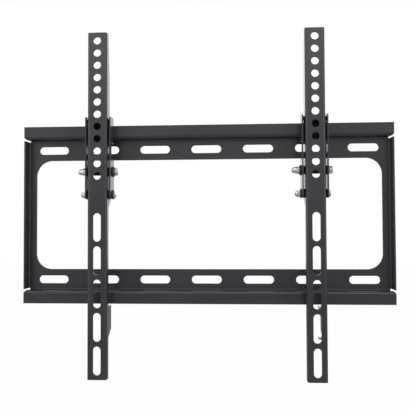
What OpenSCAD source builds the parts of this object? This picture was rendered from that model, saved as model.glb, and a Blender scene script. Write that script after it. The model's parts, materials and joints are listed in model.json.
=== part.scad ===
// TV wall mount: a pressed wall plate with two hooked rails, and two tilting screen arms.
// Each arm hangs from the upper rail by a hook bracket and is held down by a latch under the lower rail.
// Frame: origin at the centre of the wall plate's back face, X right, +Y into the wall, Z up, millimetres.
// Rest pose: both arms upright, brackets where the photograph shows them, latches up.

/* [Wall plate] */
// width of the wall plate, end to end
plate_w = 460; // [380:1:700]
// height of the wall plate, lip to lip
plate_h = 222; // [180:1:260]
// thickness of the wall plate's sheet
plate_t = 2; // [1.5:0.1:3]
// depth of the rails in front of the wall
rail_depth = 14.5; // [12:0.5:24]
// height of a rail's lip, with its bend
lip_h = 16; // [12:0.5:24]
// inside radius of the plate's bends
plate_bend = 1.5; // [0.8:0.1:2.5]
// distance of the window from the plate's ends
window_side = 11.7; // [8:0.1:30]
// distance of the window from the plate's upper and lower edges
window_in = 41.8; // [38:0.1:60]
// corner radius of the window
window_r = 19.6; // [8:0.2:30]
// wall slots in each row
wall_slots = 7; // [3:2:11]
// pitch of the wall slots
wall_slot_pitch = 65.2; // [50:0.1:80]
// length of a wall slot, end to end
wall_slot_l = 37.8; // [20:0.1:44]
// height of a wall slot
wall_slot_w = 9.8; // [6:0.1:11]
// distance of a slot row from the plate's edge
wall_row_in = 28.7; // [26:0.1:40]
// depth of the corner relief from the plate's end
relief_l = 3.8; // [3:0.1:12]
// height of the corner relief
relief_h = 1.7; // [1.2:0.1:4]
// size of the cut corner at a lip's end
lip_chamfer = 2.3; // [1:0.1:5]

/* [Arms] */
// position of the left arm along the plate
left_x = -130.6; // [-200:0.1:-40]
// position of the right arm along the plate
right_x = 131.8; // [40:0.1:200]
// distance from the wall to the front face of the arms
profile = 36.5; // [34:0.1:60]
// height of an arm
arm_h = 420; // [300:1:600]
// how far an arm rises above the upper lip
arm_over = 110.5; // [60:0.5:160]
// width of an arm
arm_w = 24; // [22:0.1:30]
// thickness of the arm's sheet
arm_t = 1.8; // [1.5:0.1:2.5]
// inside radius of the arm's bends
arm_bend = 1.2; // [0.8:0.1:2]
// depth of the arm's flanges at both ends
arm_d_end = 9; // [7:0.1:12]
// depth of the arm's flanges along the upper half
arm_d_top = 14.5; // [12:0.1:15]
// depth of the arm's flanges around the two bolts
arm_d_ear = 20.5; // [18:0.1:21]
// reach of the deep part of the flanges above the pivot bolt
ear_over = 7.9; // [6:0.1:10]
// reach of the deep part of the flanges below the lock bolt
ear_under = 6.1; // [5:0.1:8]
// height of the flanges' slope above the deep part
ear_slope_top = 6; // [3:0.1:12]
// height of the flanges' slope below the deep part
ear_slope_low = 10; // [4:0.1:16]
// height of the flanges' slope at the arm's top
end_slope = 56.5; // [20:0.5:80]
// number of round screen holes
screen_holes = 12; // [4:1:12]
// diameter of a screen hole
screen_hole_d = 9.2; // [8:0.1:10]
// pitch of the screen holes
screen_hole_pitch = 15; // [12:0.5:20]
// distance of the first screen hole from the arm's top
screen_hole_top = 10; // [8:0.5:14]
// number of long screen slots
screen_slots = 5; // [1:1:5]
// width of a screen slot
screen_slot_w = 9.4; // [8:0.1:10]
// length of a screen slot, end to end
screen_slot_l = 34.3; // [20:0.1:36]
// pitch of the screen slots
screen_slot_pitch = 40; // [38:0.5:44]
// distance of the lowest slot's end from the arm's bottom
screen_slot_low = 5.5; // [4:0.1:10]

/* [Hook brackets] */
// gap between an arm and its bracket's side plates
brk_gap = 2.2; // [1.5:0.1:6]
// thickness of a bracket's sheet
brk_t = 1.5; // [1.2:0.1:2.5]
// inside radius of the bracket's bends
brk_bend = 1; // [0.6:0.1:1.5]
// how far a bracket rises above the upper lip
brk_rise = 8.3; // [5:0.1:14]
// height of a bracket
brk_h = 100.5; // [98:0.1:120]
// how far the bracket's front edges stand behind the arm's face
brk_inset = 3; // [2:0.1:5]
// gap between the bracket's back and the rail's lip
brk_rail_gap = 0.5; // [0.3:0.1:1]
// how far the side plates stay in front of the bracket's back below the cut-out
brk_low_in = 0; // [0:0.1:3]
// radius of the lower corners
brk_corner_r = 4; // [2:0.1:6]
// radius of the upper front corner
brk_top_r = 3; // [1:0.1:5]
// distance of the side plates' cut-out below the bracket's top
brk_cut_drop = 31.3; // [26:0.1:33]
// height of the side plates' cut-out
brk_cut_h = 16; // [8:0.1:20]
// radius of the corner below the cut-out
brk_cut_r = 3; // [1:0.1:5]
// width of the strip left in front of the cut-out
brk_strip = 5.5; // [4:0.1:8]
// half width of the hook tongue
hook_half = 11.4; // [8:0.1:12]
// width of the relief cut beside the tongue
hook_relief = 0.8; // [0.5:0.1:1.5]
// height of the opening that the tongue is cut from
hook_open = 15; // [12:0.5:20]
// gap between the tongue and the lip's top edge
hook_gap_top = 0.5; // [0.3:0.1:1]
// gap between the tongue and the lip's back
hook_gap_back = 0.6; // [0.3:0.1:1]
// how far the tongue reaches down behind the lip
hook_reach = 9; // [6:0.1:10]

/* [Bolts] */
// distance of the bolt axes behind the arm's face
bolt_y = 15; // [13:0.1:16]
// distance of the pivot bolt below the bracket's top
pivot_drop = 66.8; // [62:0.1:68]
// distance of the lock bolt below the pivot bolt
lock_drop = 28.2; // [24:0.1:32]
// diameter of the bolts
bolt_d = 5; // [4:0.1:6]
// running gap of the pivot bolt in the arm, on the radius
pivot_run = 0.05; // [0.02:0.01:0.1]
// clear gap of the washers and plates on the bolts, on the radius
bolt_gap = 0.1; // [0.05:0.01:0.3]
// gap of the lock bolt in the bracket's slots, on the radius
lock_gap = 0.35; // [0.3:0.01:0.6]
// tilt of the arm with its lower end away from the wall, degrees
tilt_out = 4; // [0:0.5:4]
// tilt of the arm with its lower end towards the wall, degrees
tilt_in = 1; // [0:0.5:1]
// width across the flats of the bolt heads and nuts
hex_af = 8; // [7:0.1:10]
// thickness of a pivot bolt's head
head_t = 5.5; // [3:0.1:7]
// thickness of a lock bolt's head
lock_head_t = 3.7; // [2.5:0.1:5]
// length of a pivot bolt's cap nut
nut_l = 10; // [7:0.1:12]
// length of a lock bolt's cap nut
lock_nut_l = 7.3; // [6:0.1:10]
// length of a cap nut's hexagon
nut_hex_l = 4; // [2.5:0.1:5]
// wall left over the blind end of a cap nut
nut_wall = 1.8; // [1:0.1:3]
// gap between a bolt's tip and the nut's blind end
nut_end_gap = 0.4; // [0.2:0.1:1]
// gap between a bolt and its nut, on the radius
nut_fit = 0.02; // [0.01:0.01:0.05]
// radius of the dome on a bolt head
head_dome_r = 8; // [6:0.1:20]
// diameter of the pivot's outer washers
disc_d = 12.6; // [12:0.1:16]
// thickness of the pivot's outer washers
disc_t = 1.8; // [1:0.1:4]
// diameter of the spacer washers beside the arm
spacer_d = 11; // [10:0.1:13]
// thickness of the spacer washers beside the arm
spacer_t = 1.9; // [1:0.1:1.9]
// diameter of the lock bolt's outer washers
lock_washer_d = 12; // [11:0.1:14]
// thickness of the lock bolt's outer washers
lock_washer_t = 0.7; // [0.5:0.1:1.5]
// gap between the lock bolt's outer washers and the bracket
lock_side_gap = 0.3; // [0.3:0.1:0.6]
// outside diameter of the sleeve on the pivot bolt
sleeve_d = 9; // [8:0.1:12]
// gap at each end of the sleeve
sleeve_gap = 0.1; // [0.05:0.05:0.3]

/* [Latches] */
// gap between a latch and the lower lip
latch_lip_gap = 2.4; // [1.5:0.1:5]
// length of a latch
latch_l = 43; // [42:0.1:60]
// length of the latch's full depth
latch_full_l = 29.5; // [20:0.1:32]
// how far the latch reaches past the back of the lip
latch_past = 7; // [2:0.1:8]
// how far the latch's foot stands behind the arm's flange
latch_foot = 1.5; // [0.5:0.1:4]
// thickness of the latch's sheet
latch_t = 1.5; // [1:0.1:2]
// gap between the latch and the arm's flange
latch_gap = 0.3; // [0.3:0.1:0.6]
// travel of a latch, downwards
latch_travel = 8; // [4:0.5:8]
// width of the latch's upper tab, across the arm
latch_tab_w = 4; // [2:0.1:5]
// length of the latch's upper tab, front to back
latch_tab_l = 15; // [8:0.1:18]
// distance of the upper tab from the latch's back edge
latch_tab_in = 2.5; // [1:0.1:6]
// width of the thumb tab, across the arm
thumb_w = 5; // [3:0.1:6]
// length of the thumb tab, front to back
thumb_l = 10; // [6:0.1:12]
// how far the thumb tab starts in front of the latch's foot
thumb_in = 1; // [0:0.1:3]
// distance of the thumb tab above the latch's bottom
thumb_z = 6; // [4:0.1:8]
// diameter of a latch rivet
rivet_d = 3.2; // [2.6:0.1:3.4]
// diameter of a latch rivet's head
rivet_head_d = 6; // [5:0.1:6]
// thickness of a latch rivet's head
rivet_head_t = 1; // [0.6:0.1:1.5]
// gap of the rivets in the latch's slots, on the radius
rivet_gap = 0.35; // [0.3:0.01:0.5]
// gap of the rivets in the arm's flange, on the radius
rivet_fit = 0.02; // [0.01:0.01:0.05]
// distance of the rivets behind the arm's face
rivet_y = 6.2; // [6:0.1:6.4]
// distance of the upper rivet below the latch's top
rivet_up_z = 15.1; // [13:0.1:17]
// distance of the lower rivet below the latch's top
rivet_low_z = 35.6; // [33:0.1:37]

/* [Hidden] */
$fn = 64;
// small overrun of cutting tools
eps = 0.5;
// wall plate
half_w = plate_w / 2;
half_h = plate_h / 2;
window_hw = half_w - window_side;
window_hh = half_h - window_in;
wall_row_z = half_h - wall_row_in;
plate_ro = plate_bend + plate_t;
ledge_in = half_h - lip_h;
ledge_out = ledge_in + plate_t;
web_top = ledge_out - plate_ro;
flange_in = half_w - plate_t;
web_side = half_w - plate_ro;
relief_x = half_w - relief_l;
relief_z0 = ledge_in - relief_h;
relief_r = relief_h / 2;
slot_r = wall_slot_w / 2;
slot_half = (wall_slot_l - wall_slot_w) / 2;
// arms
face_y = -profile;
arm_half = arm_w / 2;
arm_in = arm_half - arm_t;
arm_ro = arm_bend + arm_t;
arm_z1 = half_h + arm_over;
arm_z0 = arm_z1 - arm_h;
hole_r = screen_hole_d / 2;
hole_z1 = arm_z1 - screen_hole_top;
sslot_r = screen_slot_w / 2;
sslot_half = (screen_slot_l - screen_slot_w) / 2;
sslot_z0 = arm_z0 + screen_slot_low + screen_slot_l / 2;
// bolts
axis_y = face_y + bolt_y;
pivot_z = half_h + brk_rise - pivot_drop;
lock_z = pivot_z - lock_drop;
ear_full = lock_z - ear_under;
ear_low = ear_full - ear_slope_low;
ear_top = pivot_z + ear_over;
ear_end = ear_top + ear_slope_top;
top_start = arm_z1 - end_slope;
bolt_r = bolt_d / 2;
run_r = bolt_r + pivot_run;
clear_r = bolt_r + bolt_gap;
lock_r = bolt_r + lock_gap;
lock_out_y = -lock_drop * sin(tilt_out);
lock_in_y = lock_drop * sin(tilt_in);
brk_half = arm_half + brk_gap + brk_t;
disc_a0 = brk_half;
disc_a1 = brk_half + disc_t;
lw_a0 = brk_half + lock_side_gap;
lw_a1 = lw_a0 + lock_washer_t;
hex_r = hex_af / 2 / cos(30);
dome_r = hex_af / 2;
thread_in = nut_l - nut_wall - nut_end_gap;
lock_thread_in = lock_nut_l - nut_wall - nut_end_gap;
// brackets
brk_y0 = face_y + brk_inset;
brk_back = -rail_depth - brk_rail_gap;
brk_ro = brk_bend + brk_t;
brk_side_y = brk_back - brk_ro;
brk_in = arm_half + brk_gap;
brk_z1 = half_h + brk_rise;
brk_z0 = brk_z1 - brk_h;
brk_cut_z1 = brk_z1 - brk_cut_drop;
brk_cut_z0 = brk_cut_z1 - brk_cut_h;
lip_back = -rail_depth + plate_t;
hook_under = half_h + hook_gap_top;
hook_top = hook_under + brk_t;
hook_bend_z = hook_under - brk_bend;
hook_front_y = brk_back + brk_bend;
hook_in_y = lip_back + hook_gap_back;
hook_back_y = hook_in_y - brk_bend;
hook_low = half_h - hook_reach;
hook_root_z = hook_top + brk_bend;
hook_cut_z = hook_root_z - hook_open;
// latches
latch_a1 = arm_in - latch_gap;
latch_a0 = latch_a1 - latch_t;
latch_z0 = -half_h - latch_lip_gap;
latch_y0 = face_y + arm_t + arm_bend - eps / 5;
latch_y1 = lip_back + latch_past;
latch_z1 = latch_z0 - latch_l;
latch_zf = latch_z0 - latch_full_l;
latch_yt = face_y + arm_d_end + latch_foot;
rivet_r = rivet_d / 2;
rivet_ax = face_y + rivet_y;
rivet_a0 = latch_a0 - latch_gap;
tab_y1 = latch_y1 - latch_tab_in;
thumb_y0 = latch_yt - thumb_in;

// ---------- helpers ----------

// profile drawn in (y, z), swept along X from x0 to x1
module along_x(x0, x1) {
  translate([x0, 0, 0])
    rotate([90, 0, 90])
      linear_extrude(height = x1 - x0)
        children();
}

// profile drawn in (x, y), swept along Z from z0 to z1
module along_z(z0, z1) {
  translate([0, 0, z0])
    linear_extrude(height = z1 - z0)
      children();
}

// rod along X from a0 to a1 at (y, z)
module rod_x(a0, a1, y, z, r) {
  translate([a0, y, z])
    rotate([0, 90, 0])
      cylinder(r = r, h = a1 - a0);
}

// rod along Y from y0 to y1 at (x, z)
module rod_y(x, z, y0, y1, r) {
  translate([x, y1, z])
    rotate([90, 0, 0])
      cylinder(r = r, h = y1 - y0);
}

// box given by its two corners
module box(x0, x1, y0, y1, z0, z1) {
  translate([x0, y0, z0])
    cube([x1 - x0, y1 - y0, z1 - z0]);
}

// rectangle given by its two corners
module rect(x0, x1, y0, y1) {
  translate([x0, y0])
    square([x1 - x0, y1 - y0]);
}

// quarter of a sheet bend about (u, v); su and sv pick the quadrant
module bend(u, v, ri, ro, su, sv) {
  intersection() {
    difference() {
      translate([u, v])
        circle(r = ro);
      translate([u, v])
        circle(r = ri);
    }
    translate([su > 0 ? u : u - ro, sv > 0 ? v : v - ro])
      square([ro, ro]);
  }
}

// the same thing on all four corners of the plate
module four_ways() {
  for (mx = [0, 1]) {
    for (mz = [0, 1]) {
      mirror([mx, 0, 0])
        mirror([0, 0, mz])
          children();
    }
  }
}

// ---------- wall plate ----------

// the upper rail's lip, ledge and front bend, as a profile in (y, z)
module rail_front_2d() {
  rect(-rail_depth, -rail_depth + plate_t, ledge_in + plate_ro, half_h);
  bend(-rail_depth + plate_ro, ledge_in + plate_ro, plate_bend, plate_ro, -1, -1);
  rect(-rail_depth + plate_ro, -plate_ro, ledge_in, ledge_out);
}

// the bend between the web and the upper ledge
module rail_root_2d() {
  bend(-plate_ro, web_top, plate_bend, plate_ro, 1, 1);
  rect(-plate_t, 0, web_top - relief_h, web_top);
}

// the right side flange with its bend, as a profile in (x, y)
module side_flange_2d() {
  rect(flange_in, half_w, -rail_depth, -plate_ro);
  bend(web_side, -plate_ro, plate_bend, plate_ro, 1, 1);
  rect(web_side - plate_ro, web_side, -plate_t, 0);
}

module window_cut() {
  hw = window_hw;
  hh = window_hh;
  box(-hw + window_r, hw - window_r, -plate_t - eps, eps, -hh, hh);
  box(-hw, hw, -plate_t - eps, eps, -hh + window_r, hh - window_r);
  for (sx = [-1, 1]) {
    for (sz = [-1, 1]) {
      rod_y(sx * (hw - window_r), sz * (hh - window_r), -plate_t - eps, eps, window_r);
    }
  }
}

module wall_slot_cut(x, z) {
  box(x - slot_half, x + slot_half, -plate_t - eps, eps, z - slot_r, z + slot_r);
  rod_y(x - slot_half, z, -plate_t - eps, eps, slot_r);
  rod_y(x + slot_half, z, -plate_t - eps, eps, slot_r);
}

// corner relief between a rail and a side flange
module relief_cut() {
  rod_y(relief_x + relief_r, relief_z0 + relief_r, -plate_ro, eps, relief_r);
  box(relief_x + relief_r, half_w + eps, -rail_depth - eps, eps, relief_z0, ledge_in);
  box(relief_x + relief_r, half_w + eps, -plate_ro, eps, relief_z0, ledge_out + eps);
}

// cut corner at the end of a lip and its ledge
module lip_end_cut() {
  translate([0, -plate_ro, 0])
    rotate([90, 0, 0])
      linear_extrude(height = rail_depth)
        polygon([
          [half_w - lip_chamfer - eps, ledge_in - eps],
          [half_w + eps, ledge_in - eps],
          [half_w + eps, ledge_in + lip_chamfer + eps]
        ]);
}

module wall_plate() {
  color("dimgray")
  difference() {
    union() {
      box(-web_side, web_side, -plate_t, 0, -web_top, web_top);
      for (mz = [0, 1]) {
        mirror([0, 0, mz]) {
          along_x(-half_w, half_w)
            rail_front_2d();
          along_x(-half_w + relief_l - relief_r, half_w - relief_l + relief_r)
            rail_root_2d();
        }
      }
      for (mx = [0, 1]) {
        mirror([mx, 0, 0])
          along_z(-relief_z0, relief_z0)
            side_flange_2d();
      }
    }
    window_cut();
    for (i = [0 : wall_slots - 1]) {
      for (sz = [-1, 1]) {
        wall_slot_cut((i - (wall_slots - 1) / 2) * wall_slot_pitch, sz * wall_row_z);
      }
    }
    four_ways()
      relief_cut();
    four_ways()
      lip_end_cut();
  }
}

// ---------- arm ----------

// the channel's section, in (x, y)
module arm_section_2d() {
  rect(-arm_half + arm_ro, arm_half - arm_ro, face_y, face_y + arm_t);
  for (s = [-1, 1]) {
    bend(s * (arm_half - arm_ro), face_y + arm_ro, arm_bend, arm_ro, s, -1);
    rect(s > 0 ? arm_in : -arm_half, s > 0 ? arm_half : -arm_in, face_y + arm_ro, face_y + arm_d_ear);
  }
}

// the arm's outline from the side, in (y, z)
module arm_outline_2d() {
  polygon([
    [face_y - eps, arm_z0 - eps],
    [face_y + arm_d_end, arm_z0 - eps],
    [face_y + arm_d_end, ear_low],
    [face_y + arm_d_ear, ear_full],
    [face_y + arm_d_ear, ear_top],
    [face_y + arm_d_top, ear_end],
    [face_y + arm_d_top, top_start],
    [face_y + arm_d_end, arm_z1],
    [face_y + arm_d_end, arm_z1 + eps],
    [face_y - eps, arm_z1 + eps]
  ]);
}

module screen_slot_cut(z) {
  box(-sslot_r, sslot_r, face_y - eps, face_y + arm_t + eps, z - sslot_half, z + sslot_half);
  rod_y(0, z - sslot_half, face_y - eps, face_y + arm_t + eps, sslot_r);
  rod_y(0, z + sslot_half, face_y - eps, face_y + arm_t + eps, sslot_r);
}

module arm_at(x) {
  color("dimgray")
  translate([x, 0, 0])
  difference() {
    intersection() {
      along_z(arm_z0, arm_z1)
        arm_section_2d();
      along_x(-arm_w, arm_w)
        arm_outline_2d();
    }
    for (i = [0 : screen_holes - 1]) {
      rod_y(0, hole_z1 - i * screen_hole_pitch, face_y - eps, face_y + arm_t + eps, hole_r);
    }
    for (i = [0 : screen_slots - 1]) {
      screen_slot_cut(sslot_z0 + i * screen_slot_pitch);
    }
    rod_x(-arm_w, arm_w, axis_y, pivot_z, run_r);
    rod_x(-arm_w, arm_w, axis_y, lock_z, clear_r);
    rod_x(0, arm_w, rivet_ax, latch_z0 - rivet_up_z, rivet_r + rivet_fit);
    rod_x(0, arm_w, rivet_ax, latch_z0 - rivet_low_z, rivet_r + rivet_fit);
  }
}

// ---------- hook bracket ----------

// a side plate's outline, in (y, z)
module side_plate_2d() {
  low_y1 = brk_back - brk_low_in;
  r = brk_corner_r;
  rc = brk_cut_r;
  rt = brk_top_r;
  // lower part
  rect(brk_y0, low_y1, brk_z0 + r, brk_cut_z0 - rc);
  rect(brk_y0 + r, low_y1 - r, brk_z0, brk_z0 + r);
  rect(brk_y0, low_y1 - rc, brk_cut_z0 - rc, brk_cut_z0);
  translate([brk_y0 + r, brk_z0 + r])
    circle(r = r);
  translate([low_y1 - r, brk_z0 + r])
    circle(r = r);
  translate([low_y1 - rc, brk_cut_z0 - rc])
    circle(r = rc);
  // strip in front of the cut-out
  rect(brk_y0, brk_y0 + brk_strip, brk_cut_z0, brk_cut_z1);
  // upper part
  rect(brk_y0, brk_side_y, brk_cut_z1, brk_z1 - rt);
  rect(brk_y0 + rt, brk_side_y, brk_z1 - rt, brk_z1);
  translate([brk_y0 + rt, brk_z1 - rt])
    circle(r = rt);
}

// the bracket's back with its two bends, in (x, y)
module back_2d() {
  rect(-brk_half + brk_ro, brk_half - brk_ro, brk_back - brk_t, brk_back);
  for (s = [-1, 1]) {
    bend(s * (brk_half - brk_ro), brk_side_y, brk_bend, brk_ro, s, 1);
  }
}

// the hook tongue over the rail's lip, in (y, z)
module tongue_2d() {
  rect(brk_back - brk_t, brk_back, hook_root_z, hook_root_z + brk_t);
  bend(hook_front_y, hook_root_z, brk_bend, brk_ro, -1, -1);
  rect(hook_front_y, hook_back_y, hook_under, hook_top);
  bend(hook_back_y, hook_bend_z, brk_bend, brk_ro, 1, 1);
  rect(hook_in_y, hook_in_y + brk_t, hook_low, hook_bend_z);
}

// the lock bolt's slot through both side plates
module lock_slot_cut() {
  for (dy = [lock_out_y, lock_in_y]) {
    rod_x(-2 * brk_half, 2 * brk_half, axis_y + dy, lock_z, lock_r);
  }
  box(-2 * brk_half, 2 * brk_half, axis_y + lock_out_y, axis_y + lock_in_y, lock_z - lock_r, lock_z + lock_r);
}

module bracket_at(x) {
  relief = hook_half + hook_relief;
  color("dimgray")
  translate([x, 0, 0])
  difference() {
    union() {
      along_x(-brk_half, -brk_in)
        side_plate_2d();
      along_x(brk_in, brk_half)
        side_plate_2d();
      difference() {
        along_z(brk_cut_z1, brk_z1)
          back_2d();
        box(-relief, relief, brk_back - 2 * brk_t, brk_back + brk_t, hook_cut_z, hook_root_z);
      }
      along_x(-hook_half, hook_half)
        tongue_2d();
    }
    rod_x(-2 * brk_half, 2 * brk_half, axis_y, pivot_z, clear_r);
    lock_slot_cut();
  }
}

// ---------- bolts, nuts and washers ----------

// six-sided bar along X
module hex_x(a0, a1, y, z) {
  translate([a0, y, z])
    rotate([0, 90, 0])
      cylinder(r = hex_r, h = a1 - a0, $fn = 6);
}

// bolt with its head on the right; a1 is the underside of the head, a0 the tip, thick the head
module bolt_at(x, z, a0, a1, thick) {
  color("silver")
  translate([x, 0, 0])
  union() {
    rod_x(a0, a1, axis_y, z, bolt_r);
    intersection() {
      hex_x(a1, a1 + thick, axis_y, z);
      translate([a1 + thick - head_dome_r, axis_y, z])
        sphere(r = head_dome_r);
    }
  }
}

// cap nut on the left; a1 is its flat face, long its whole length
module cap_nut_at(x, z, a1, long) {
  color("silver")
  translate([x, 0, 0])
  difference() {
    union() {
      hex_x(a1 - nut_hex_l, a1, axis_y, z);
      intersection() {
        rod_x(a1 - long, a1 - nut_hex_l / 2, axis_y, z, dome_r);
        translate([a1 - long + dome_r, axis_y, z])
          sphere(r = dome_r);
      }
    }
    rod_x(a1 - long + nut_wall, a1 + eps, axis_y, z, bolt_r + nut_fit);
  }
}

// washer or sleeve from a0 to a1
module ring_at(x, z, a0, a1, ro, ri, tint) {
  color(tint)
  translate([x, 0, 0])
  difference() {
    rod_x(a0, a1, axis_y, z, ro);
    rod_x(a0 - eps, a1 + eps, axis_y, z, ri);
  }
}

// ---------- latch ----------

module latch_slot_cut(dz) {
  z = latch_z0 - dz;
  r = rivet_r + rivet_gap;
  rod_x(latch_a0 - eps, latch_a1 + eps, rivet_ax, z, r);
  rod_x(latch_a0 - eps, latch_a1 + eps, rivet_ax, z + latch_travel, r);
  box(latch_a0 - eps, latch_a1 + eps, rivet_ax - r, rivet_ax + r, z, z + latch_travel);
}

module latch_at(x) {
  color("dimgray")
  translate([x, 0, 0])
  difference() {
    union() {
      along_x(latch_a0, latch_a1)
        polygon([
          [latch_y0, latch_z0],
          [latch_y1, latch_z0],
          [latch_y1, latch_zf],
          [latch_yt, latch_z1],
          [latch_y0, latch_z1]
        ]);
      box(latch_a0 - latch_tab_w, latch_a0, tab_y1 - latch_tab_l, tab_y1, latch_z0 - latch_t, latch_z0);
      box(latch_a0 - thumb_w, latch_a0, thumb_y0, thumb_y0 + thumb_l, latch_z1 + thumb_z,
          latch_z1 + thumb_z + latch_t);
    }
    latch_slot_cut(rivet_up_z);
    latch_slot_cut(rivet_low_z);
  }
}

module rivet_at(x, dz) {
  z = latch_z0 - dz;
  color("gray")
  translate([x, 0, 0])
  union() {
    rod_x(rivet_a0, arm_half, rivet_ax, z, rivet_r);
    rod_x(rivet_a0 - rivet_head_t, rivet_a0, rivet_ax, z, rivet_head_d / 2);
  }
}

// ---------- sub-parts ----------

module left_arm() {
  arm_at(left_x);
}

module left_hook_bracket() {
  bracket_at(left_x);
}

module left_pivot_bolt() {
  bolt_at(left_x, pivot_z, -disc_a1 - thread_in, disc_a1, head_t);
}

module left_pivot_nut() {
  cap_nut_at(left_x, pivot_z, -disc_a1, nut_l);
}

module left_pivot_disc_head() {
  ring_at(left_x, pivot_z, disc_a0, disc_a1, disc_d / 2, clear_r, "black");
}

module left_pivot_disc_nut() {
  ring_at(left_x, pivot_z, -disc_a1, -disc_a0, disc_d / 2, clear_r, "black");
}

module left_pivot_spacer_head() {
  ring_at(left_x, pivot_z, brk_in - spacer_t, brk_in, spacer_d / 2, clear_r, "black");
}

module left_pivot_spacer_nut() {
  ring_at(left_x, pivot_z, -brk_in, -brk_in + spacer_t, spacer_d / 2, clear_r, "black");
}

module left_pivot_sleeve() {
  ring_at(left_x, pivot_z, -arm_in + sleeve_gap, arm_in - sleeve_gap, sleeve_d / 2, run_r, "black");
}

module left_lock_bolt() {
  bolt_at(left_x, lock_z, -lw_a1 - lock_thread_in, lw_a1, lock_head_t);
}

module left_lock_nut() {
  cap_nut_at(left_x, lock_z, -lw_a1, lock_nut_l);
}

module left_lock_washer_head() {
  ring_at(left_x, lock_z, lw_a0, lw_a1, lock_washer_d / 2, clear_r, "black");
}

module left_lock_washer_nut() {
  ring_at(left_x, lock_z, -lw_a1, -lw_a0, lock_washer_d / 2, clear_r, "black");
}

module left_lock_spacer_head() {
  ring_at(left_x, lock_z, arm_half, arm_half + spacer_t, spacer_d / 2, clear_r, "black");
}

module left_lock_spacer_nut() {
  ring_at(left_x, lock_z, -arm_half - spacer_t, -arm_half, spacer_d / 2, clear_r, "black");
}

module left_safety_latch() {
  latch_at(left_x);
}

module left_latch_rivet_upper() {
  rivet_at(left_x, rivet_up_z);
}

module left_latch_rivet_lower() {
  rivet_at(left_x, rivet_low_z);
}

module right_arm() {
  arm_at(right_x);
}

module right_hook_bracket() {
  bracket_at(right_x);
}

module right_pivot_bolt() {
  bolt_at(right_x, pivot_z, -disc_a1 - thread_in, disc_a1, head_t);
}

module right_pivot_nut() {
  cap_nut_at(right_x, pivot_z, -disc_a1, nut_l);
}

module right_pivot_disc_head() {
  ring_at(right_x, pivot_z, disc_a0, disc_a1, disc_d / 2, clear_r, "black");
}

module right_pivot_disc_nut() {
  ring_at(right_x, pivot_z, -disc_a1, -disc_a0, disc_d / 2, clear_r, "black");
}

module right_pivot_spacer_head() {
  ring_at(right_x, pivot_z, brk_in - spacer_t, brk_in, spacer_d / 2, clear_r, "black");
}

module right_pivot_spacer_nut() {
  ring_at(right_x, pivot_z, -brk_in, -brk_in + spacer_t, spacer_d / 2, clear_r, "black");
}

module right_pivot_sleeve() {
  ring_at(right_x, pivot_z, -arm_in + sleeve_gap, arm_in - sleeve_gap, sleeve_d / 2, run_r, "black");
}

module right_lock_bolt() {
  bolt_at(right_x, lock_z, -lw_a1 - lock_thread_in, lw_a1, lock_head_t);
}

module right_lock_nut() {
  cap_nut_at(right_x, lock_z, -lw_a1, lock_nut_l);
}

module right_lock_washer_head() {
  ring_at(right_x, lock_z, lw_a0, lw_a1, lock_washer_d / 2, clear_r, "black");
}

module right_lock_washer_nut() {
  ring_at(right_x, lock_z, -lw_a1, -lw_a0, lock_washer_d / 2, clear_r, "black");
}

module right_lock_spacer_head() {
  ring_at(right_x, lock_z, arm_half, arm_half + spacer_t, spacer_d / 2, clear_r, "black");
}

module right_lock_spacer_nut() {
  ring_at(right_x, lock_z, -arm_half - spacer_t, -arm_half, spacer_d / 2, clear_r, "black");
}

module right_safety_latch() {
  latch_at(right_x);
}

module right_latch_rivet_upper() {
  rivet_at(right_x, rivet_up_z);
}

module right_latch_rivet_lower() {
  rivet_at(right_x, rivet_low_z);
}

wall_plate();
left_arm();
left_hook_bracket();
left_pivot_bolt();
left_pivot_nut();
left_pivot_disc_head();
left_pivot_disc_nut();
left_pivot_spacer_head();
left_pivot_spacer_nut();
left_pivot_sleeve();
left_lock_bolt();
left_lock_nut();
left_lock_washer_head();
left_lock_washer_nut();
left_lock_spacer_head();
left_lock_spacer_nut();
left_safety_latch();
left_latch_rivet_upper();
left_latch_rivet_lower();
right_arm();
right_hook_bracket();
right_pivot_bolt();
right_pivot_nut();
right_pivot_disc_head();
right_pivot_disc_nut();
right_pivot_spacer_head();
right_pivot_spacer_nut();
right_pivot_sleeve();
right_lock_bolt();
right_lock_nut();
right_lock_washer_head();
right_lock_washer_nut();
right_lock_spacer_head();
right_lock_spacer_nut();
right_safety_latch();
right_latch_rivet_upper();
right_latch_rivet_lower();
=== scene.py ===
import json
import math

import bpy
from mathutils import Matrix, Vector


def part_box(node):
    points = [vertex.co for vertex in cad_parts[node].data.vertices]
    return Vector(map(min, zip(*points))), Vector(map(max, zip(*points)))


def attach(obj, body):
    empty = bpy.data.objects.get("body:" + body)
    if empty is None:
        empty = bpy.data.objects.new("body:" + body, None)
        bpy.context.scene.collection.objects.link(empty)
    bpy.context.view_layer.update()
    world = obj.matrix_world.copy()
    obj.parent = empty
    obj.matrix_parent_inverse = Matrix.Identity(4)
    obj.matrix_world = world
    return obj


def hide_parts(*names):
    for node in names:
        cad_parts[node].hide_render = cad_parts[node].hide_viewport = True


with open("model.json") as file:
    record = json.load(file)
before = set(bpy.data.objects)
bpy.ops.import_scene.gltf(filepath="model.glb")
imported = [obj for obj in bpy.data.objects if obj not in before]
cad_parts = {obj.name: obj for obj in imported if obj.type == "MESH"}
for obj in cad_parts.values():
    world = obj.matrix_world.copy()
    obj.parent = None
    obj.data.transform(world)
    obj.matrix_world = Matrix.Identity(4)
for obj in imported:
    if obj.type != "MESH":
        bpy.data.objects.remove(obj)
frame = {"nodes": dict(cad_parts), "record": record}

mm = 0.001
scene = bpy.context.scene
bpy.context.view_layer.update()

# the photograph's own viewing place, worked out from the holes and slots of the arms and the plate
photoCamera = {
    "place": (0.03556, -0.63907, -0.00900),
    "yaw": 0.05378,
    "pitch": 0.02717,
    "roll": -0.00414,
    "lens": 43.892,
    "sensor": 36.0,
}


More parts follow.
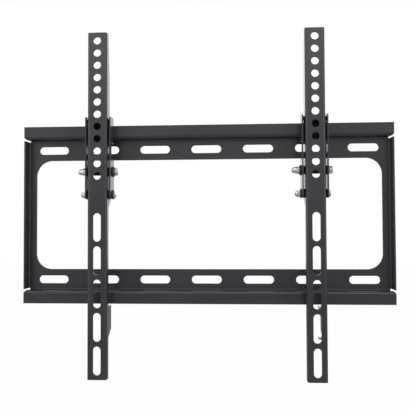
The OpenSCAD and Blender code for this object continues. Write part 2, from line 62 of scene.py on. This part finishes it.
def addPhotoCamera(look):
    yaw, pitch, roll = look["yaw"], look["pitch"], look["roll"]
    right = Vector((math.cos(yaw), math.sin(yaw), 0))
    ahead = Vector((-math.sin(yaw), math.cos(yaw), 0))
    forward = ahead * math.cos(pitch) + Vector((0, 0, 1)) * math.sin(pitch)
    up = Vector((0, 0, 1)) * math.cos(pitch) - ahead * math.sin(pitch)
    across = right * math.cos(roll) + up * math.sin(roll)
    upright = up * math.cos(roll) - right * math.sin(roll)
    data = bpy.data.cameras.new("photoCamera")
    data.sensor_width = look["sensor"]
    data.lens = look["lens"]
    data.clip_start = 0.01
    camera = bpy.data.objects.new("photoCamera", data)
    scene.collection.objects.link(camera)
    turn = Matrix((across, upright, -forward)).transposed()
    camera.matrix_world = Matrix.Translation(look["place"]) @ turn.to_4x4()
    scene.camera = camera


addPhotoCamera(photoCamera)
scene.view_settings.view_transform = "Standard"


def mathNode(tree, operation, first, second=None, clamp=False):
    node = tree.nodes.new("ShaderNodeMath")
    node.operation = operation
    node.use_clamp = clamp
    for index, value in enumerate((first, second)):
        if value is None:
            continue
        if isinstance(value, (int, float)):
            node.inputs[index].default_value = value
        else:
            tree.links.new(value, node.inputs[index])
    return node.outputs[0]


def rangeNode(tree, value, fromLow, fromHigh, toLow, toHigh):
    node = tree.nodes.new("ShaderNodeMapRange")
    tree.links.new(value, node.inputs["Value"])
    for label, number in zip(("From Min", "From Max", "To Min", "To Max"),
                             (fromLow, fromHigh, toLow, toHigh)):
        node.inputs[label].default_value = number
    return node.outputs["Result"]


studio = {
    "fill": 0.76,           # what the room gives to dull surfaces
    "seen": 1.0,            # what the camera sees of it
    "below": 0.18,          # what polished surfaces see low in the room
    "above": 1.12,          # and high in the room
    "spread": 0.42,         # how far from the horizon these two are reached
    "backdrop": 2.1,        # how much brighter they see the lit backdrop behind the mount
    "backdropEdges": (0.2, 0.9),
    "lamps": [
        # name, place, aimed at, width, height, watts
        ("topLamp", (0.1, -1.5, 1.0), (0, 0, 0.10), 1.8, 0.8, 5.5),
        ("leftLamp", (-1.3, -1.2, 0.3), (0, 0, 0.05), 0.7, 1.2, 6.0),
        ("rightLamp", (1.4, -1.1, 0.3), (0, 0, 0.05), 0.7, 1.2, 6.0),
    ],
}


def whiteRoom(tree, strength):
    room = tree.nodes.new("ShaderNodeBackground")
    room.inputs["Color"].default_value = (1, 1, 1, 1)
    room.inputs["Strength"].default_value = strength
    return room


def makeStudio(look):
    world = bpy.data.worlds.new("paleRoom")
    scene.world = world
    world.use_nodes = True
    tree = world.node_tree
    tree.nodes.clear()
    links = tree.links
    fill = whiteRoom(tree, look["fill"])
    seen = whiteRoom(tree, look["seen"])
    mirrored = whiteRoom(tree, look["seen"])
    direction = tree.nodes.new("ShaderNodeTexCoord")
    parts = tree.nodes.new("ShaderNodeSeparateXYZ")
    links.new(direction.outputs["Generated"], parts.inputs[0])
    upward = rangeNode(tree, parts.outputs["Z"], -look["spread"], look["spread"],
                       look["below"], look["above"])
    behind = rangeNode(tree, parts.outputs["Y"], *look["backdropEdges"], 1.0, look["backdrop"])
    links.new(mathNode(tree, "MULTIPLY", upward, behind), mirrored.inputs["Strength"])
    ray = tree.nodes.new("ShaderNodeLightPath")
    polished = tree.nodes.new("ShaderNodeMixShader")
    links.new(ray.outputs["Is Glossy Ray"], polished.inputs["Fac"])
    links.new(fill.outputs[0], polished.inputs[1])
    links.new(mirrored.outputs[0], polished.inputs[2])
    both = tree.nodes.new("ShaderNodeMixShader")
    links.new(ray.outputs["Is Camera Ray"], both.inputs["Fac"])
    links.new(polished.outputs[0], both.inputs[1])
    links.new(seen.outputs[0], both.inputs[2])
    output = tree.nodes.new("ShaderNodeOutputWorld")
    links.new(both.outputs[0], output.inputs["Surface"])
    for name, place, target, width, height, watts in look["lamps"]:
        data = bpy.data.lights.new(name, "AREA")
        data.shape = "RECTANGLE"
        data.size, data.size_y = width, height
        data.energy = watts
        lamp = bpy.data.objects.new(name, data)
        scene.collection.objects.link(lamp)
        lamp.location = place
        aim = Vector(target) - Vector(place)
        lamp.rotation_euler = aim.to_track_quat("-Z", "Y").to_euler()


makeStudio(studio)

paleFloor = {
    "size": 14.0,
    "height": -0.62,
    "colour": (0.50, 0.50, 0.495),
    "roughness": 0.9,
    "whiteShare": 0.985,    # how far the camera sees it as plain white; the rest keeps the shadow
}


def layFloor(look):
    bpy.ops.object.select_all(action="DESELECT")
    bpy.ops.mesh.primitive_plane_add(size=look["size"], location=(0, 0, look["height"]))
    floor = bpy.context.object
    floor.name = "paleFloor"
    material = bpy.data.materials.new("floorPaint")
    material.use_nodes = True
    tree = material.node_tree
    dull = tree.nodes["Principled BSDF"]
    dull.inputs["Base Color"].default_value = (*look["colour"], 1)
    dull.inputs["Roughness"].default_value = look["roughness"]
    glow = tree.nodes.new("ShaderNodeEmission")
    glow.inputs["Strength"].default_value = 1.0
    ray = tree.nodes.new("ShaderNodeLightPath")
    share = tree.nodes.new("ShaderNodeMath")
    share.operation = "MULTIPLY"
    share.inputs[1].default_value = look["whiteShare"]
    blend = tree.nodes.new("ShaderNodeMixShader")
    tree.links.new(ray.outputs["Is Camera Ray"], share.inputs[0])
    tree.links.new(share.outputs[0], blend.inputs["Fac"])
    tree.links.new(dull.outputs[0], blend.inputs[1])
    tree.links.new(glow.outputs[0], blend.inputs[2])
    tree.links.new(blend.outputs[0], tree.nodes["Material Output"].inputs["Surface"])
    floor.data.materials.append(material)


layFloor(paleFloor)
print("camera, room and floor are set")


# two shared effects, then the three finishes of this mount
def newEffect(name, inputs, outputs):
    group = bpy.data.node_groups.new(name, "ShaderNodeTree")
    for label, kind, value in inputs:
        socket = group.interface.new_socket(name=label, in_out="INPUT", socket_type=kind)
        socket.default_value = value
    for label, kind in outputs:
        group.interface.new_socket(name=label, in_out="OUTPUT", socket_type=kind)
    entry = group.nodes.new("NodeGroupInput")
    leave = group.nodes.new("NodeGroupOutput")
    return group, entry, leave


def noiseNode(tree, coordinates, scale, detail=2.0, roughness=0.5):
    node = tree.nodes.new("ShaderNodeTexNoise")
    node.inputs["Detail"].default_value = detail
    node.inputs["Roughness"].default_value = roughness
    tree.links.new(coordinates, node.inputs["Vector"])
    if isinstance(scale, (int, float)):
        node.inputs["Scale"].default_value = scale
    else:
        tree.links.new(scale, node.inputs["Scale"])
    return node.outputs["Fac"]


wornEdgeLook = {
    "samples": 8,
    "flatDot": 0.985, "sharpDot": 0.80,             # rounded against true normal
    "detail": 4.0, "roughness": 0.6,
    "patchLow": 0.42, "patchHigh": 0.66,
}


def makeWornEdge(look):
    # rounds the punched edges in the shading and gives a broken mask of where the finish thins
    group, entry, leave = newEffect(
        "wornEdge",
        [("Radius", "NodeSocketFloat", 0.0005), ("Breakup", "NodeSocketFloat", 260.0)],
        [("Mask", "NodeSocketFloat"), ("Normal", "NodeSocketVector")])
    links = group.links
    rounded = group.nodes.new("ShaderNodeBevel")
    rounded.samples = look["samples"]
    links.new(entry.outputs["Radius"], rounded.inputs["Radius"])
    surface = group.nodes.new("ShaderNodeNewGeometry")
    compare = group.nodes.new("ShaderNodeVectorMath")
    compare.operation = "DOT_PRODUCT"
    links.new(rounded.outputs["Normal"], compare.inputs[0])
    links.new(surface.outputs["Normal"], compare.inputs[1])
    edge = rangeNode(group, compare.outputs["Value"], look["flatDot"], look["sharpDot"], 0.0, 1.0)
    place = group.nodes.new("ShaderNodeTexCoord")
    patches = noiseNode(group, place.outputs["Object"], entry.outputs["Breakup"],
                        look["detail"], look["roughness"])
    broken = rangeNode(group, patches, look["patchLow"], look["patchHigh"], 0.0, 1.0)
    links.new(mathNode(group, "MULTIPLY", edge, broken, True), leave.inputs["Mask"])
    links.new(rounded.outputs["Normal"], leave.inputs["Normal"])
    return group


# each noise: detail and roughness; the clouds are spread between two levels
finishGrainLook = {
    "ripple": (1.5, 0.4), "grain": (2.0, 0.6), "clouds": (5.0, 0.62),
    "cloudLevels": (0.3, 0.7),
}


def makeFinishGrain(look):
    # soft ripples with fine grain on them, and slow clouds that shift colour and gloss
    group, entry, leave = newEffect(
        "finishGrain",
        [("Ripple Scale", "NodeSocketFloat", 700.0), ("Grain Scale", "NodeSocketFloat", 3000.0),
         ("Grain Share", "NodeSocketFloat", 0.3), ("Cloud Scale", "NodeSocketFloat", 14.0)],
        [("Height", "NodeSocketFloat"), ("Clouds", "NodeSocketFloat")])
    links = group.links
    place = group.nodes.new("ShaderNodeTexCoord").outputs["Object"]
    ripple = noiseNode(group, place, entry.outputs["Ripple Scale"], *look["ripple"])
    grain = noiseNode(group, place, entry.outputs["Grain Scale"], *look["grain"])
    fine = mathNode(group, "MULTIPLY", grain, entry.outputs["Grain Share"])
    links.new(mathNode(group, "ADD", ripple, fine), leave.inputs["Height"])
    clouds = noiseNode(group, place, entry.outputs["Cloud Scale"], *look["clouds"])
    links.new(rangeNode(group, clouds, *look["cloudLevels"], 0.0, 1.0), leave.inputs["Clouds"])
    return group


wornEdge = makeWornEdge(wornEdgeLook)
finishGrain = makeFinishGrain(finishGrainLook)

powderCoat = {
    "name": "blackPowderCoat",
    "colour": (0.0240, 0.0250, 0.0305), "cloudColour": (0.0310, 0.0320, 0.0380),
    "wornColour": (0.085, 0.085, 0.088), "worn": 0.45,
    "roughness": (0.20, 0.28), "wornRoughness": 0.36,
    "metallic": 0.0, "specular": 0.42,
    "edgeRadius": 0.0006, "breakup": 240.0,
    "ripple": 650.0, "grain": 2600.0, "grainShare": 0.35, "cloud": 13.0,
    "bump": 0.16, "bumpDistance": 0.00025,
}

zincPlate = {
    "name": "brightZincPlate",
    "colour": (0.60, 0.61, 0.62), "cloudColour": (0.46, 0.47, 0.49),
    "wornColour": (0.40, 0.40, 0.41), "worn": 0.35,
    "roughness": (0.18, 0.32), "wornRoughness": 0.38,
    "metallic": 1.0, "specular": 0.5,
    "edgeRadius": 0.0003, "breakup": 900.0,
    "ripple": 900.0, "grain": 5200.0, "grainShare": 0.5, "cloud": 240.0,
    "bump": 0.10, "bumpDistance": 0.00012,
}

mattWasher = {
    "name": "mattBlackWasher",
    "colour": (0.022, 0.022, 0.023), "cloudColour": (0.033, 0.033, 0.034),
    "wornColour": (0.085, 0.085, 0.087), "worn": 0.4,
    "roughness": (0.50, 0.66), "wornRoughness": 0.45,
    "metallic": 0.0, "specular": 0.35,
    "edgeRadius": 0.0003, "breakup": 700.0,
    "ripple": 1500.0, "grain": 5200.0, "grainShare": 0.8, "cloud": 150.0,
    "bump": 0.22, "bumpDistance": 0.00015,
}


def makeFinish(look):
    material = bpy.data.materials.new(look["name"])
    material.use_nodes = True
    tree = material.node_tree
    links = tree.links
    shader = tree.nodes["Principled BSDF"]
    shader.inputs["Metallic"].default_value = look["metallic"]
    shader.inputs["Specular IOR Level"].default_value = look["specular"]

    edge = tree.nodes.new("ShaderNodeGroup")
    edge.node_tree = wornEdge
    edge.inputs["Radius"].default_value = look["edgeRadius"]
    edge.inputs["Breakup"].default_value = look["breakup"]
    grain = tree.nodes.new("ShaderNodeGroup")
    grain.node_tree = finishGrain
    grain.inputs["Ripple Scale"].default_value = look["ripple"]
    grain.inputs["Grain Scale"].default_value = look["grain"]
    grain.inputs["Grain Share"].default_value = look["grainShare"]
    grain.inputs["Cloud Scale"].default_value = look["cloud"]

    clouded = tree.nodes.new("ShaderNodeMix")
    clouded.data_type = "RGBA"
    clouded.inputs["A"].default_value = (*look["colour"], 1)
    clouded.inputs["B"].default_value = (*look["cloudColour"], 1)
    links.new(grain.outputs["Clouds"], clouded.inputs["Factor"])
    worn = mathNode(tree, "MULTIPLY", edge.outputs["Mask"], look["worn"])
    coloured = tree.nodes.new("ShaderNodeMix")
    coloured.data_type = "RGBA"
    links.new(worn, coloured.inputs["Factor"])
    links.new(clouded.outputs["Result"], coloured.inputs["A"])
    coloured.inputs["B"].default_value = (*look["wornColour"], 1)
    links.new(coloured.outputs["Result"], shader.inputs["Base Color"])

    low, high = look["roughness"]
    gloss = rangeNode(tree, grain.outputs["Clouds"], 0.0, 1.0, low, high)
    dulled = tree.nodes.new("ShaderNodeMix")
    links.new(worn, dulled.inputs["Factor"])
    links.new(gloss, dulled.inputs["A"])
    dulled.inputs["B"].default_value = look["wornRoughness"]
    links.new(dulled.outputs["Result"], shader.inputs["Roughness"])

    bump = tree.nodes.new("ShaderNodeBump")
    bump.inputs["Strength"].default_value = look["bump"]
    bump.inputs["Distance"].default_value = look["bumpDistance"]
    links.new(grain.outputs["Height"], bump.inputs["Height"])
    links.new(edge.outputs["Normal"], bump.inputs["Normal"])
    links.new(bump.outputs["Normal"], shader.inputs["Normal"])
    return material


blackPowderCoat = makeFinish(powderCoat)
brightZincPlate = makeFinish(zincPlate)
mattBlackWasher = makeFinish(mattWasher)

for solid in frame["nodes"].values():
    for place in solid.material_slots:
        place.material = blackPowderCoat
print("finishes are made")


# small turned and hexagonal hardware
def selectOnly(piece):
    bpy.ops.object.select_all(action="DESELECT")
    piece.select_set(True)
    bpy.context.view_layer.objects.active = piece


smallest = 0.02             # a tip's radius, so that it stays a real circle
weld = 1e-6


def turnOnLathe(name, profile, sides, ring=False):
    # profile: millimetres along X and radius; a ring's profile comes back to its own start
    bpy.ops.object.select_all(action="DESELECT")
    along, radius = profile[0]
    bpy.ops.mesh.primitive_circle_add(
        vertices=sides, radius=radius * mm, fill_type="NOTHING" if ring else "NGON",
        location=(along * mm, 0, 0), rotation=(0, math.pi / 2, 0))
    piece = bpy.context.object
    piece.name = name
    bpy.ops.object.transform_apply(location=True, rotation=True, scale=True)
    bpy.ops.object.mode_set(mode="EDIT")
    bpy.ops.mesh.select_mode(type="EDGE" if ring else "FACE")
    bpy.ops.mesh.select_all(action="SELECT")
    extrude = bpy.ops.mesh.extrude_edges_move if ring else bpy.ops.mesh.extrude_region_move
    for nextAlong, nextRadius in profile[1:] + (profile[:1] if ring else []):
        extrude(TRANSFORM_OT_translate={"value": ((nextAlong - along) * mm, 0, 0)})
        wider = nextRadius / radius
        bpy.ops.transform.resize(value=(1, wider, wider), center_override=(nextAlong * mm, 0, 0))
        along, radius = nextAlong, nextRadius
    bpy.ops.mesh.select_all(action="SELECT")
    bpy.ops.mesh.remove_doubles(threshold=weld)
    bpy.ops.mesh.normals_make_consistent(inside=False)
    bpy.ops.object.mode_set(mode="OBJECT")
    return piece


def hexBar(name, start, end, flats):
    bpy.ops.object.select_all(action="DESELECT")
    bpy.ops.mesh.primitive_cylinder_add(
        vertices=6, radius=flats / math.sqrt(3) * mm, depth=(end - start) * mm,
        location=((start + end) / 2 * mm, 0, 0), rotation=(0, math.pi / 2, 0))
    piece = bpy.context.object
    piece.name = name
    bpy.ops.object.transform_apply(location=True, rotation=True, scale=True)
    bpy.ops.object.mode_set(mode="EDIT")
    bpy.ops.mesh.select_all(action="SELECT")
    bpy.ops.transform.rotate(value=math.pi / 6, orient_axis="X", center_override=(0, 0, 0))
    bpy.ops.object.mode_set(mode="OBJECT")
    return piece


def combine(piece, other, operation):
    selectOnly(piece)
    bpy.ops.object.modifier_add(type="BOOLEAN")
    step = piece.modifiers[-1]
    step.operation = operation
    step.solver = "EXACT"
    step.object = other
    bpy.ops.object.modifier_apply(modifier=step.name)
    bpy.data.objects.remove(other)
    return piece


smoothAngle = 32


def softenEdges(piece, width):
    selectOnly(piece)
    bpy.ops.object.modifier_add(type="BEVEL")
    step = piece.modifiers[-1]
    step.width = width * mm
    step.segments = 2
    step.limit_method = "ANGLE"
    step.angle_limit = math.radians(smoothAngle)
    bpy.ops.object.modifier_apply(modifier=step.name)
    bpy.ops.object.shade_smooth_by_angle(angle=math.radians(smoothAngle))
    return piece


def domeProfile(base, tip, radius, widest, steps):
    # from the widest circle up to the tip of a ball of this radius
    points = []
    for step in range(steps + 1):
        turn = math.asin(widest / radius) * (1 - step / steps)
        reach = radius * math.sin(turn)
        points.append((tip - radius * (1 - math.cos(turn)), max(reach, smallest)))
    return [(base, widest)] + points


def boxFacts(node):
    low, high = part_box(node)
    return low.x, (low.y + high.y) / 2, (low.z + high.z) / 2, (high.x - low.x) / mm


def bodyOf(node):
    for body, members in frame["record"]["behaviour"]["bodies"].items():
        if node in members:
            return body


def pieceName(node):
    words = node.split("_")
    return words[0] + "".join(word.capitalize() for word in words[1:])


def fitToNodes(piece, nodes, material):
    # the piece is modelled once along X from 0, and every node gets a copy with its own mesh
    piece.data.materials.clear()
    piece.data.materials.append(material)
    for node in nodes:
        x, y, z, length = boxFacts(node)
        selectOnly(piece)
        bpy.ops.object.duplicate(linked=False)
        copy = bpy.context.object
        copy.name = pieceName(node)
        copy.data.name = copy.name
        copy.location = (x, y, z)
        bpy.ops.object.transform_apply(location=True, rotation=True, scale=True)
        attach(copy, bodyOf(node))
        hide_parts(node)
    bpy.data.objects.remove(piece)


bolt = {
    "flats": 8.0, "headThickness": {"pivot_bolt": 5.5, "lock_bolt": 3.7},
    "headBall": 8.0, "headWidest": 5.2, "domeSteps": 12, "domeSides": 64, "headEdge": 0.14,
    "shank": 2.5, "core": 2.1, "tipChamfer": 0.6, "sides": 40,
    # the plain part under the head: where it starts and is full, how deep it stands in the head
    "plainStart": 1.2, "plainFull": 0.9, "inHead": 0.4, "plainSlack": 0.03,
    "pitch": 0.8, "threadSides": 24, "threadEnd": 1.4,
    "wire": 0.9, "wireSunk": 0.1,                   # shares of the thread's depth
}


def cutThread(start, end, look):
    # a small three-sided wire wound along the shank, sunk a little into its core
    turns = int((end - start) / look["pitch"])
    depth = look["shank"] - look["core"]
    bpy.ops.object.select_all(action="DESELECT")
    bpy.ops.mesh.primitive_circle_add(
        vertices=3, radius=depth * look["wire"] * mm, fill_type="NOTHING",
        location=(start * mm, 0, (look["core"] + depth * look["wireSunk"]) * mm),
        rotation=(math.pi / 2, 0, 0))
    wire = bpy.context.object
    wire.name = "threadWire"
    bpy.ops.object.transform_apply(location=True, rotation=True, scale=True)
    bpy.ops.object.modifier_add(type="SCREW")
    step = wire.modifiers[-1]
    step.axis = "X"
    step.screw_offset = look["pitch"] * mm
    step.iterations = turns
    step.steps = look["threadSides"]
    step.render_steps = look["threadSides"]
    bpy.ops.object.modifier_apply(modifier=step.name)
    bpy.ops.object.mode_set(mode="EDIT")
    bpy.ops.mesh.select_all(action="SELECT")
    bpy.ops.mesh.fill_holes(sides=3)
    bpy.ops.mesh.normals_make_consistent(inside=False)
    bpy.ops.object.mode_set(mode="OBJECT")
    return wire


def makeBolt(kind, length, look):
    under = length - look["headThickness"][kind]
    head = hexBar("plain_" + kind, under, length, look["flats"])
    dome = domeProfile(under - 1, length, look["headBall"], look["headWidest"],
                       look["domeSteps"])
    head = combine(head, turnOnLathe("headDome", dome, look["domeSides"]), "INTERSECT")
    softenEdges(head, look["headEdge"])
    chamfer, plain = look["tipChamfer"], look["shank"] - look["plainSlack"]
    shank = turnOnLathe("shank", [
        (0, look["core"] - chamfer / 2), (chamfer, look["core"]),
        (under - look["plainStart"], look["core"]), (under - look["plainFull"], plain),
        (under + look["inHead"], plain)], look["sides"])
    thread = cutThread(chamfer, under - look["threadEnd"], look)
    bpy.ops.object.select_all(action="DESELECT")
    for part in (shank, thread, head):
        part.select_set(True)
    bpy.context.view_layer.objects.active = head
    bpy.ops.object.join()
    selectOnly(head)
    bpy.ops.object.shade_smooth_by_angle(angle=math.radians(smoothAngle))
    return head


for kind in ("pivot_bolt", "lock_bolt"):
    length = boxFacts("left_" + kind)[3]
    fitToNodes(makeBolt(kind, length, bolt),
               ["left_" + kind, "right_" + kind], brightZincPlate)
print("bolts are made")

capNut = {
    "flats": 8.0, "hexLength": 4.0, "neck": 3.85, "endWall": 1.8, "bore": 2.52,
    "cone": 30.0, "coneShare": 0.97, "overrun": 0.01, "shoulder": 0.3, "edge": 0.12,
    "coneSides": 64, "capSides": 48, "boreSides": 32, "capSteps": 10,
}


def makeCapNut(length, look):
    # tip at 0, open face at its length
    face, hexStart = length, length - look["hexLength"]
    corner, over = look["flats"] / math.sqrt(3), look["overrun"]
    small = look["flats"] / 2 * look["coneShare"]
    drop = (corner - small) * math.tan(math.radians(look["cone"]))
    chamferCut = turnOnLathe("nutChamfer", [
        (hexStart - over, small), (hexStart + drop, corner + over),
        (face - drop, corner + over), (face + over, small)], look["coneSides"])
    nut = combine(hexBar("capNut", hexStart, face, look["flats"]), chamferCut, "INTERSECT")
    tipLength = min(look["neck"], hexStart - look["shoulder"])
    cap = [(hexStart + 1.0, look["neck"]), (tipLength, look["neck"])]
    for step in range(1, look["capSteps"]):
        turn = math.pi / 2 * step / look["capSteps"]
        cap.append((tipLength * (1 - math.sin(turn)), look["neck"] * math.cos(turn)))
    cap.append((0, smallest))
    nut = combine(nut, turnOnLathe("nutCap", cap, look["capSides"]), "UNION")
    bore = turnOnLathe("nutBore", [
        (face + 1, look["bore"]), (look["endWall"], look["bore"])], look["boreSides"])
    nut = combine(nut, bore, "DIFFERENCE")
    return softenEdges(nut, look["edge"])


for kind in ("pivot_nut", "lock_nut"):
    length = boxFacts("left_" + kind)[3]
    fitToNodes(makeCapNut(length, capNut), ["left_" + kind, "right_" + kind],
               brightZincPlate)

# every ring: outside and inside diameter, length and rim rounding, and the nodes it stands for
rings = {
    "disc": {"outer": 12.6, "inner": 5.2, "length": 1.8, "rim": 0.4,
             "nodes": ["pivot_disc_head", "pivot_disc_nut"]},
    "thinWasher": {"outer": 12.0, "inner": 5.2, "length": 0.7, "rim": 0.14,
                   "nodes": ["lock_washer_head", "lock_washer_nut"]},
    "spacer": {"outer": 11.0, "inner": 5.2, "length": 1.9, "rim": 0.3,
               "nodes": ["pivot_spacer_head", "pivot_spacer_nut",
                         "lock_spacer_head", "lock_spacer_nut"]},
    "sleeve": {"outer": 9.0, "inner": 5.1, "length": 20.2, "rim": 0.4,
               "nodes": ["pivot_sleeve"]},
}
ringSides = 56
rimSmoothAngle = 40
rimCorner = 0.3             # share of the rim that the first flat takes


def makeRing(name, look):
    outer, inner, length, rim = (look[key] for key in ("outer", "inner", "length", "rim"))
    outer, inner = outer / 2, inner / 2
    small = rim * rimCorner
    ring = turnOnLathe(name, [
        (rim, outer), (small, outer - small), (0, outer - rim), (0, inner + rim / 2),
        (rim / 2, inner), (length - rim / 2, inner), (length, inner + rim / 2),
        (length, outer - rim), (length - small, outer - small), (length - rim, outer)],
        ringSides, ring=True)
    selectOnly(ring)
    bpy.ops.object.shade_smooth_by_angle(angle=math.radians(rimSmoothAngle))
    return ring


for name, look in rings.items():
    nodes = [side + part for side in ("left_", "right_") for part in look["nodes"]]
    fitToNodes(makeRing(name, look), nodes, mattBlackWasher)

rivet = {
    "head": 3.0, "headThickness": 1.0, "rimShare": 0.7, "shank": 1.6, "tipChamfer": 0.15,
    "steps": 6, "sides": 36,
}


def makeRivet(length, look):
    # the factory head is a low button; the far end is set flush in the arm's flange
    wide, thick, chamfer = look["head"], look["headThickness"], look["tipChamfer"]
    rim = thick * look["rimShare"]
    profile = [(length, look["shank"] - chamfer), (length - chamfer, look["shank"]),
               (thick, look["shank"]), (thick, wide), (rim, wide)]
    for step in range(1, look["steps"] + 1):
        turn = math.pi / 2 * step / look["steps"]
        profile.append((rim * (1 - math.sin(turn)), max(wide * math.cos(turn), smallest)))
    piece = turnOnLathe("rivet", profile, look["sides"])
    selectOnly(piece)
    bpy.ops.object.shade_smooth_by_angle(angle=math.radians(smoothAngle))
    return piece


fitToNodes(makeRivet(boxFacts("left_latch_rivet_upper")[3], rivet),
           [side + part for side in ("left_", "right_")
            for part in ("latch_rivet_upper", "latch_rivet_lower")],
           blackPowderCoat)
print("nuts, washers and rivets are made")
